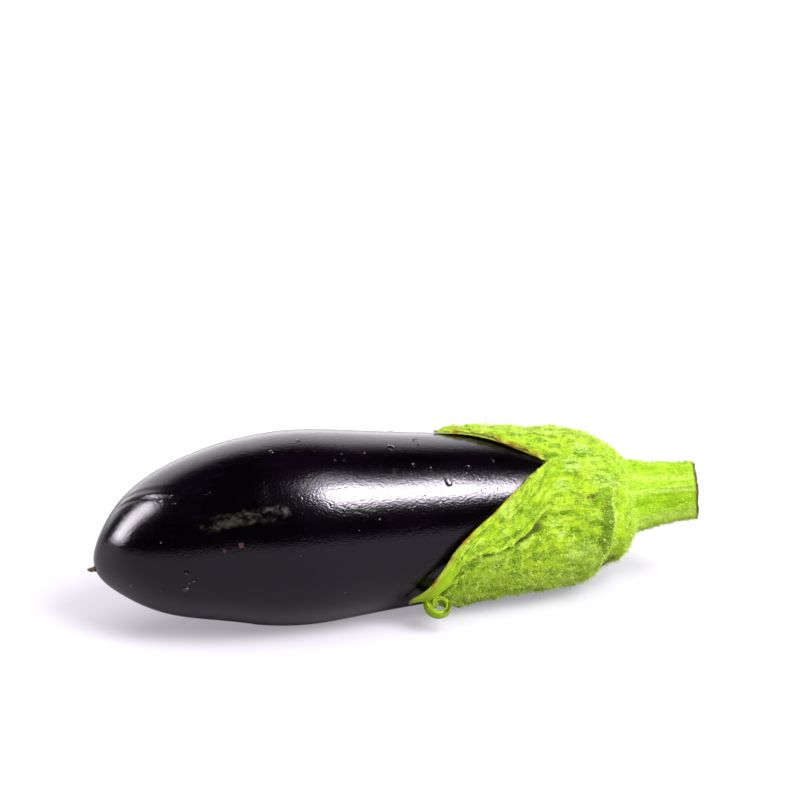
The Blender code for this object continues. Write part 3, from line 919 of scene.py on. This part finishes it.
def calyx_relief(mesh):
    """Raises the calyx's outer face by its ribs, veins and lumps, and its shoulder by a rim."""
    points, normals = points_of(mesh), read_all(mesh.vertices, "normal", 3).astype(float)
    mark = {name: mark_on(mesh, name) for name in Body.MARKS}
    fibre = read_all(mesh.attributes["fibre"].data, "vector", 3).astype(float)
    calm = (1 - 0.85 * mark["blade"]) * (1 - 0.5 * mark["tip"])
    lumps = soft_noise(points, 0.0052) * 0.00045 + soft_noise(points, 0.0023, 7) * 0.00042
    lumps = lumps + soft_noise(points, 0.0011, 9) * 0.00036
    veins = soft_noise(fibre * (1, 1, 0.12), 0.0019, 3) * 0.00026
    veins = veins + soft_noise(fibre * (1, 1, 0.2), 0.0008, 5) * 0.00012
    ribs = mark["rib"] * 0.00030
    rise = (lumps + veins + ribs) * calm * np.clip(mark["outer"], 0, 1) * (1 - 0.5 * mark["stalk"])
    rise = rise + mark["shoulder"] * 0.0027
    points += normals * rise[:, None]
    points[:, 2] = np.maximum(points[:, 2], 0.00008)
    mesh.vertices.foreach_set("co", points.astype(np.float32).ravel())
    mesh.update()


def green_finish():
    finish = Finish("calyx_felt", {"Subsurface Weight": 0.05, "Subsurface Scale": 0.001, "IOR": 1.25})
    place, step, noise_at = finish.place, finish.step, finish.noise
    mix, paint = finish.mix, finish.paint
    fibre = finish.node("ShaderNodeAttribute", {"attribute_name": "fibre"}, output="Vector")
    rim, tip, blade, stalk, cut = (finish.attribute(name) for name in ("rim", "tip", "blade", "stalk", "cut"))
    glow = finish.attribute("glow")
    crease = finish.attribute("crease")
    mottle = noise_at(fibre, 0.0016, 6, 0.75, stretch=(1.0, 1.0, 0.55))
    patch = noise_at(place, 0.0080, 3, 0.6, shift=0.3)
    streak = noise_at(fibre, 0.0015, 4, 0.6, stretch=(1.0, 1.0, 0.16))
    finish.colour = mix(step(mottle, 0.36, 0.60), (0.120, 0.27, 0.0015), (0.45, 0.66, 0.012))
    paint(step(streak, 0.50, 0.70) * 0.55, (0.56, 0.75, 0.060))
    pale = step(patch + (mottle - 0.5) * 0.6, 0.52, 0.74) * (1.0 - stalk)
    paint(pale * 0.65, (0.62, 0.82, 0.160))
    flecks = step(noise_at(place, 0.0009, 3, 0.7, shift=0.6), 0.60, 0.70)
    paint(flecks * 0.5 * (1.0 - blade), (0.72, 0.90, 0.220))
    pits = step(noise_at(place, 0.0012, 5, 0.75, shift=0.1), 0.41, 0.31)
    paint(pits * 0.85 * (1.0 - blade), (0.055, 0.12, 0.002))
    # Painted highlight on the shoulder's band, then painted shade along its groove.
    paint(step(glow, 0.15, 0.8) * 0.7, (0.50, 0.76, 0.004))
    paint(step(glow, -0.15, -0.7) * 0.75, (0.05, 0.13, 0.002))
    band = finish.attribute("band") + (streak - 0.5) * 1.2
    stem_green = mix(step(band, -0.5, 0.1), (0.33, 0.60, 0.0015), (0.42, 0.70, 0.018))
    stem_green = mix(step(band, 0.2, 0.9), stem_green, (0.58, 0.82, 0.110))
    paint(stalk * 0.65, stem_green)
    smooth_green = mix(step(streak, 0.4, 0.7), (0.24, 0.42, 0.006), (0.48, 0.68, 0.030))
    paint(blade, smooth_green)
    # Painted shade in the crease under the front sepal's lapping edge.
    paint(crease * 0.85, (0.035, 0.05, 0.003))
    rim_noise = noise_at(place, 0.0030, 3, shift=0.5)
    rim_colour = mix(step(rim_noise, 0.45, 0.6), (0.52, 0.60, 0.060), (0.42, 0.22, 0.025))
    paint(rim * 0.8, rim_colour)
    paint(step(tip + (rim_noise - 0.5) * 0.5, 0.6, 0.95), (0.36, 0.22, 0.09))

    near = finish.wobbled(800.0, 0.0022)
    browns = finish.most(
        [finish.spot(near, on_calyx(*place), size * 0.2, size * 1.2) for *place, size in BROWN_MARKS]
        + [finish.line(near, on_calyx(*a), on_calyx(*b), size * 0.2, size) for a, b, size in DARK_LINES]
    )
    browns = browns * step(noise_at(place, 0.0011, 4, 0.7, shift=0.8), 0.40, 0.55)
    paint(browns * 0.9, (0.060, 0.028, 0.006))
    # Pale patches; the two on the collar are a painted highlight.
    pales = finish.most([finish.spot(near, on_calyx(*place), 0.0, size * 1.3) for *place, size in PALE_MARKS])
    pales = pales * step(mottle, 0.42, 0.58)
    paint(pales * 0.8, (0.66, 0.82, 0.36))

    height = finish.split(place)["Z"]
    # Painted shade: the calyx is painted darker towards the table.
    paint(step(height, 0.0150, 0.0020) * 0.40, (0.140, 0.270, 0.0025))
    # The underside of the shoulder's crest, low down: partly its own brown, partly painted shade.
    brown_and_shaded_underside = step(finish.attribute("shoulder"), 0.25, 0.50) * step(height, 0.0100, 0.0082)
    brown_and_shaded_underside = brown_and_shaded_underside * step(mottle, 0.35, 0.50)
    paint(brown_and_shaded_underside * 0.85, (0.080, 0.050, 0.010))

    face = step(cut, 1.02, 1.06)
    level = cut - 1.0
    pith = mix(step(noise_at(place, 0.0006, 3), 0.35, 0.65), (0.30, 0.30, 0.11), (0.50, 0.50, 0.26))
    ring = step(level, 0.70, 0.78) * step(level, 0.95, 0.88)
    pith = mix(ring * 0.6, pith, (0.20, 0.16, 0.05))
    edge = step(level, 0.88, 0.97)
    pith = mix(edge, pith, (0.11, 0.055, 0.018))
    paint(step(cut, 0.25, 0.75) * 0.9, (0.075, 0.040, 0.010))
    paint(face, pith)
    finish.feed("Roughness", 0.70 - blade * 0.25 + (mottle - 0.5) * 0.2)

    felt = noise_at(place, 0.00045, 4, 0.75)
    tufts = noise_at(place, 0.0012, 4, 0.7, shift=0.9)
    relief = finish.bump(felt * (1.0 - blade * 0.85), 0.00035)
    relief = finish.bump(tufts * (1.0 - blade * 0.8), 0.00070, relief)
    relief = finish.bump(streak * (1.0 - blade * 0.5), 0.00045, relief)
    finish.feed("Normal", relief)
    return finish.material


# Station, angle and radius of each brown scar and each pale patch.
BROWN_MARKS = (
    (0.0110, 66, 0.0009),
    (0.0200, 76, 0.0012), (0.0185, 77, 0.0008), (0.0222, 78, 0.0007), (0.0128, 112, 0.0008),
    (0.0095, 103, 0.0009), (0.0152, 9, 0.0007), (0.0140, 120, 0.0006), (0.0260, 120, 0.0006),
    (0.0180, 200, 0.0010), (0.0120, 260, 0.0012), (0.0150, 262, 0.0007), (0.0210, 290, 0.0008),
)
# The first two pale patches, on the collar, are a painted highlight.
PALE_MARKS = (
    (0.0045, 54, 0.0020), (0.0065, 52, 0.0016), (0.0165, 90, 0.0009), (0.0120, 40, 0.0022),
    (0.0085, 24, 0.0024), (0.0150, 55, 0.0016), (0.0100, 330, 0.0020), (0.0140, 285, 0.0018),
)
# Both ends and the radius of each dark line.
DARK_LINES = (
    ((0.0110, 66), (0.0072, 63), 0.0007),
    ((0.0072, 63), (0.0032, 61), 0.0006),
    ((0.0395, 107), (0.0290, 107), 0.0005),
    ((0.0250, 45), (0.0190, 55), 0.0004),
    ((0.0260, 140), (0.0180, 136), 0.0005),
    ((0.0300, 270), (0.0200, 262), 0.0006),
    ((0.0280, 195), (0.0180, 190), 0.0006),
)


def on_calyx(station, angle):
    """A point of the calyx's outer face, as three plain numbers."""
    point = skin(np.array(station), np.array(float(angle)), SKIN_GAP + CALYX_THICKNESS)
    return tuple(float(v) for v in point)


calyx_sheet = calyx_mesh()
calyx_relief(calyx_sheet)
calyx_sheet.materials.append(green_finish())
finished(face_outwards(linked("calyx_and_stem", calyx_sheet)), "calyx_green", "calyx", "stem")


# ---- the dried style ----
def speckled(name, uniform, dark, pale, size, steps, detail=3, rough=0.5, **more):
    """A finish that wanders between two colours."""
    finish = Finish(name, uniform)
    tone = finish.noise(finish.place, size, detail, rough, **more)
    finish.feed("Base Color", finish.mix(finish.step(tone, *steps), dark, pale))
    return finish, tone


def style_finish():
    colours = (0.045, 0.018, 0.008), (0.22, 0.11, 0.035)
    drawn_out = (0.2, 1.0, 1.0)
    finish, streak = speckled("dry_fibre", {"IOR": 1.4}, *colours, 0.00025, (0.35, 0.65), stretch=drawn_out)
    finish.feed("Roughness", 0.6 + streak * 0.3)
    finish.feed("Normal", finish.bump(streak, 0.0001))
    return finish.material


STYLE_RADIUS = 0.00040
STYLE_SHARES = (1.7, 1.7, 1.5, 1.25, 1.15, 1.2, 1.0, 0.8, 0.35)  # of that radius, from the scar to the tip


def style_piece():
    """A short withered stub on a small scar at the blossom end's pole."""
    low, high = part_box("style_remnant")
    pole = skin_at(1.0, 0.0, 0.0)
    ahead, up, side = spine_frame(np.array(FRUIT_LENGTH))
    turn = np.linspace(0, 2 * math.pi, 15)[:-1, None]
    rows = []
    for t, share in zip(np.linspace(-0.25, 1, len(STYLE_SHARES)), STYLE_SHARES):
        uneven = share * STYLE_RADIUS * (1 + 0.25 * np.cos(3 * turn + 4 * t))
        middle = pole + ahead * t * (high.x - low.x) + up * 0.00045 * max(t, 0) ** 2
        rows.append(middle + (up * np.cos(turn) + side * np.sin(turn)) * uneven)
    body = Body()
    body.capped(rows, pole - ahead * 0.0004, np.mean(rows[-1], axis=0) + ahead * 0.00005)
    return body.piece("dried_style", style_finish())


finished(style_piece(), "dried_style", "style_remnant")


# ---- water drops, hairs and prickles, scattered by nodes ----
def drop_finish():
    clear = {"Base Color": (1, 1, 1, 1), "Roughness": 0.0, "IOR": 1.33, "Transmission Weight": 1.0}
    return Finish("water", clear).material


def hair_finish():
    colours = (0.25, 0.43, 0.006), (0.80, 0.93, 0.220)
    uniform = {"Roughness": 0.6, "IOR": 1.3}
    return speckled("felt_hair", uniform, *colours, 0.0015, (0.38, 0.62), 4, 0.7)[0].material


def prickle_finish():
    colours = (0.42, 0.45, 0.14), (0.75, 0.68, 0.45)
    uniform = {"Roughness": 0.45, "IOR": 1.45}
    return speckled("prickle", uniform, *colours, 0.0015, (0.35, 0.65))[0].material


def scattered(name, mesh, one, tilt, inputs):
    """Stands copies of one small shape on the faces of a mesh, with their sizes and leans random."""
    shape = Shape(name + "_by_rule", inputs)
    given = shape.given
    number, random = {"data_type": "FLOAT"}, {"distribute_method": "RANDOM"}
    weight = shape.node("GeometryNodeInputNamedAttribute", number, {"Name": "felt"}, "Attribute")
    values = {"Mesh": given, "Density": given["Density"] * weight, "Seed": given["Seed"]}
    spread = shape.node("GeometryNodeDistributePointsOnFaces", random, values, "Points")
    values = {0: (-tilt, -tilt, 0.0), 1: (tilt, tilt, 6.283), "Seed": 11}
    lean = shape.node("FunctionNodeRandomValue", {"data_type": "FLOAT_VECTOR"}, values)
    lean = shape.node("FunctionNodeEulerToRotation", values={0: lean})
    values = {"Rotation": spread["Rotation"], "Rotate By": lean}
    turned = shape.node("FunctionNodeRotateRotation", {"rotation_space": "LOCAL"}, values)
    values = {2: 0.0, 3: 1.0, "Seed": 23}
    share = shape.node("FunctionNodeRandomValue", number, values, 1)
    size = given["Smallest"] + (given["Largest"] - given["Smallest"]) * share ** given["Fewer Large"]
    values = {"Points": spread, "Instance": one(shape), "Rotation": turned, "Scale": size}
    shape.close(shape.node("GeometryNodeInstanceOnPoints", values=values))
    return shape.build(name, mesh)


def one_hair(shape):
    """A thin three-sided spike, one unit long."""
    values = {"Vertices": 3, "Radius Top": 0.0, "Radius Bottom": 0.065, "Depth": 1.0}
    cone = shape.node("GeometryNodeMeshCone", values=values, output="Mesh")
    return shape.node("GeometryNodeTransform", values={"Geometry": cone, "Translation": (0.0, 0.0, -0.05)})


def one_drop(shape):
    """A bead of water, flatter than a ball and half sunk where it stands."""
    ball = shape.node("GeometryNodeMeshIcoSphere", values={"Radius": 1.0, "Subdivisions": 2}, output="Mesh")
    flat = shape.node("GeometryNodeTransform", values={"Geometry": ball, "Scale": (1.0, 1.0, 0.5)})
    return shape.node("GeometryNodeSetShadeSmooth", values={"Geometry": flat})


def one_prickle(shape):
    """A curved, tapering spine, one unit long."""
    ends = {"Start": (0.0, 0.0, -0.06), "Middle": (0.02, 0.0, 0.5), "End": (0.16, 0.0, 1.0)}
    values = {"Resolution": 8, **ends}
    bow = shape.node("GeometryNodeCurveQuadraticBezier", values=values)
    along = shape.node("GeometryNodeSplineParameter", output="Factor")
    taper = shape.node("GeometryNodeSetCurveRadius", values={0: bow, "Radius": 1.0 - along * 0.9})
    values = {"Resolution": 8, "Radius": 0.085}
    section = shape.node("GeometryNodeCurvePrimitiveCircle", values=values, output="Curve")
    values = {"Curve": taper, "Profile Curve": section, "Fill Caps": True}
    tube = shape.node("GeometryNodeCurveToMesh", values=values)
    return shape.node("GeometryNodeSetShadeSmooth", values={"Geometry": tube})


def marked_copy(mesh, weights):
    """A copy of a mesh whose felt attribute says where copies may stand."""
    copy = mesh.copy()
    layer = copy.attributes.get("felt") or copy.attributes.new("felt", "FLOAT", "POINT")
    layer.data.foreach_set("value", np.asarray(weights, np.float32))
    return copy


# Station, angle and radius of each large drop.
DROPS = (
    (0.0508, 19, 0.00105), (0.0402, 48, 0.00085), (0.0440, 7, 0.00055), (0.0438, 14, 0.00050),
    (0.0765, 18, 0.00055), (0.0940, 92, 0.00050), (0.0950, 106, 0.00060), (0.0930, 99, 0.00040),
    (0.0350, 37, 0.00055), (0.0290, 32, 0.00050), (0.0620, 31, 0.00040), (0.0570, 24, 0.00035),
    (0.0700, 10, 0.00045), (0.0470, 34, 0.00045), (0.0880, 40, 0.00040), (0.0952, 34, 0.00030),
    (0.0935, 33, 0.00026), (0.0933, 40, 0.00030), (0.0640, 30, 0.00030), (0.0740, 87, 0.00026),
    (0.0820, 300, 0.00080), (0.0600, 320, 0.00100), (0.0520, 285, 0.00070), (0.0730, 265, 0.00060),
    (0.0460, 335, 0.00070),
)
DROP_SINK = 0.00003
DROP_RISE = 0.62  # of a drop's radius


def large_drops():
    """Beads of water that follow the skin under them, closed below it."""
    body = Body()
    across, around = np.linspace(1, 0, 9)[:-1, None], np.linspace(0, 2 * math.pi, 25)[:-1][None]
    for station, angle, size in DROPS:
        wobble = 1 + 0.10 * np.sin(2 * around + station * 9000) + 0.05 * np.sin(3 * around + angle)
        ahead = station + size * across * np.cos(around) * 1.1 * wobble
        aside = angle + np.degrees(size * across * np.sin(around) * wobble / skin_radius(station))
        dome = skin(ahead, aside, -DROP_SINK + size * DROP_RISE * np.sqrt(1 - across**2.4))
        body.capped(dome, skin(station, angle, -0.00020), skin(station, angle, -DROP_SINK + size * DROP_RISE))
    return body.piece("large_drops", drop_finish())


finished(large_drops(), "skin")
fruit_points = points_of(fruit.data)
wet = smoothstep(fruit_points[:, 2], 0.004, 0.010) * (1 - smoothstep(fruit_points[:, 0], 0.020, 0.030))
drops = scattered("water_drops", marked_copy(fruit.data, wet), one_drop, 0.0, {
    "Density": 6000.0, "Seed": 5, "Smallest": 0.00007, "Largest": 0.00030, "Fewer Large": 3.0,
    "Material": drop_finish(),
})
finished(drops, "skin")

felt = mark_on(calyx_sheet, "felt")
sheet_height = points_of(calyx_sheet)[:, 2]
# Fewer hairs on the crest's underside, which is painted brown and painted shade.
brown_and_shaded_underside_mask = smoothstep(mark_on(calyx_sheet, "shoulder"), 0.25, 0.50)
brown_and_shaded_underside_mask = brown_and_shaded_underside_mask * (1 - smoothstep(sheet_height, 0.0082, 0.0100))
hairy = felt * smoothstep(sheet_height, 0.0010, 0.0018) * (1 - 0.75 * brown_and_shaded_underside_mask)  # none near the table
hairs = scattered("felt_hairs", marked_copy(calyx_sheet, hairy), one_hair, 0.75, {
    "Density": 6.5e6, "Seed": 3, "Smallest": 0.00040, "Largest": 0.00115, "Fewer Large": 1.7,
    "Material": hair_finish(),
})
finished(hairs, "calyx_green")

# Station, angle, length, thickness and lean of each of the larger spines.
SPINES = (
    (0.0270, -9, 0.0028, 0.00020, (0.35, 0.0, 1.0)),
    (0.0330, -14, 0.0012, 0.00018, (-0.3, 0.3, 1.0)),
    (0.0120, -20, 0.0010, 0.00022, (0.5, 0.0, 1.0)),
    (0.0180, 285, 0.0016, 0.00020, (0.2, 1.0, 0.6)),
)


def large_spines():
    """Curved, tapering spines that stand where they are told."""
    body = Body()
    turns = np.linspace(0, 2 * math.pi, 9)[:-1]
    for station, angle, length, thick, lean in SPINES:
        root = skin(station, angle, SKIN_GAP + CALYX_THICKNESS * 0.7)
        way = unit(np.array(lean))
        aside = unit(np.cross(way, (0.0, 1.0, 0.2)))
        other = np.cross(way, aside)
        rows = []
        for t in np.linspace(0, 1, 9):
            middle = root + way * length * t + aside * length * 0.12 * t * t
            ring = aside * np.cos(turns)[:, None] + other * np.sin(turns)[:, None]
            rows.append(middle + ring * thick * (1.0 - t) ** 0.7 + ring * 0.00002)
        body.capped(rows, rows[0].mean(axis=0) - way * 0.00005, rows[-1].mean(axis=0) + way * 0.00005)
    return body.piece("large_spines", prickle_finish())


finished(large_spines(), "calyx_green")
above = felt * (sheet_height > 0.006)
prickles = scattered("prickles", marked_copy(calyx_sheet, above), one_prickle, 0.5, {
    "Density": 3000.0, "Seed": 12, "Smallest": 0.0006, "Largest": 0.0019, "Fewer Large": 1.5,
    "Material": prickle_finish(),
})
finished(prickles, "calyx_green")


# ---- the stage: table, lights, camera ----
CAMERA_YAW = math.radians(18.0)
CAMERA_TILT = math.radians(17.5)
CAMERA_DISTANCE = 0.630
CAMERA_ASIDE = (0.0210, 0.02663)  # how far right of and above the belly's middle it looks
BELLY = Vector(ORIGIN) + Vector((0, 0, BELLY_HEIGHT))
TABLE_REACH = 0.9
LIGHT_DISTANCE = 1.0
ROOM_GLOW = 0.005  # what gloss sees of the dark room
WALL_GLOW = 2.6
SKY_GLOW = 0.45  # on what is dull


def aim(thing, place, direction, upward=(0, 0, 1)):
    """Puts a camera or a light at a place, looking in a direction."""
    back = -Vector(direction).normalized()
    right = Vector(upward).cross(back).normalized()
    turn = Matrix((right, back.cross(right), back)).transposed()
    thing.matrix_world = Matrix.Translation(place) @ turn.to_4x4()


def make_camera():
    level = Vector((math.sin(CAMERA_YAW), math.cos(CAMERA_YAW), 0))
    forward = level * math.cos(CAMERA_TILT) - Vector((0, 0, math.sin(CAMERA_TILT)))
    right = Vector((math.cos(CAMERA_YAW), -math.sin(CAMERA_YAW), 0))
    up = right.cross(forward)
    lens = bpy.data.cameras.new("camera")
    lens.lens, lens.sensor_width = 135.0, 36.0
    lens.clip_start, lens.clip_end = 0.01, 20.0
    camera = linked("camera", lens)
    place = BELLY + right * CAMERA_ASIDE[0] + up * CAMERA_ASIDE[1] - forward * CAMERA_DISTANCE
    aim(camera, place, forward)
    bpy.context.scene.camera = camera


def area_light(name, direction, size, power, glossy):
    """A soft rectangular light. One kind shows in reflections only, the other lights without showing."""
    lamp = bpy.data.lights.new(name, "AREA")
    lamp.shape, lamp.size, lamp.size_y = "RECTANGLE", *size
    lamp.energy = power
    light = linked(name, lamp)
    toward = Vector(direction).normalized()
    aim(light, BELLY + toward * LIGHT_DISTANCE, -toward)
    light.visible_camera = False
    light.visible_diffuse = not glossy
    light.visible_glossy = glossy
    light.visible_transmission = glossy


def make_table():
    """A white table whose faint glow shows to the eye only and grows further off, so it looks endless."""
    mesh = bpy.data.meshes.new("table")
    corners = [(x * TABLE_REACH, y * TABLE_REACH, 0) for x, y in ((-1, -1), (1, -1), (1, 1), (-1, 1))]
    mesh.from_pydata(corners, [], [(0, 1, 2, 3)])
    finish = Finish("white_table", {"Roughness": 0.7, "IOR": 1.1, "Base Color": (0.505, 0.485, 0.535, 1.0)})
    finish.shader.inputs["Emission Strength"].default_value = 0.355
    away = finish.vector("LENGTH", finish.place, output="Value")
    glow = finish.mix(finish.step(away, 0.22, 0.75), (0.93, 0.91, 0.98), (1.55, 1.55, 1.55))
    seen = finish.node("ShaderNodeLightPath", output="Is Camera Ray")
    finish.feed("Emission Color", finish.mix(seen, (0.0, 0.0, 0.0), glow))
    mesh.materials.append(finish.material)
    linked("table", mesh)


def make_world():
    """White to the eye, an even light on what is dull, and a dark room with a white wall behind for gloss."""
    world = bpy.data.worlds.new("studio")
    bpy.context.scene.world = world
    world.use_nodes = True
    tree = Tree(world.node_tree)
    sky = world.node_tree.nodes["Background"]
    rays = tree.node("ShaderNodeLightPath", output="Is Camera Ray")
    parts = tree.split(tree.node("ShaderNodeTexCoord", output="Generated"))
    behind = tree.step(parts["Y"], 0.35, 0.75) * tree.step(parts["Z"], 0.80, 0.60)
    room = ROOM_GLOW + behind * tree.step(parts["X"], -0.60, -0.35) * WALL_GLOW
    glossy = rays["Is Glossy Ray"]
    strength = SKY_GLOW * (1.0 - glossy) + room * glossy
    strength = strength * (1.0 - rays) + rays
    world.node_tree.links.new(strength.socket, sky.inputs["Strength"])
    sky.inputs["Color"].default_value = (1.0, 0.985, 1.0, 1.0)


bpy.context.scene.view_settings.view_transform = "Standard"
make_camera()
make_table()
make_world()
area_light("key", (0.42, -0.66, 0.72), (0.60, 0.60), 15.0, glossy=False)
area_light("overhead", (-0.10, 0.10, 1.00), (1.20, 1.20), 8.0, glossy=False)
area_light("key_shine", (0.46, -0.53, 0.73), (0.27, 0.32), 17.0, glossy=True)
area_light("soft_shine", (0.47, -0.46, 0.78), (0.31, 0.64), 6.5, glossy=True)
area_light("side_shine", (-0.80, 0.33, 0.42), (0.36, 0.75), 24.0, glossy=True)
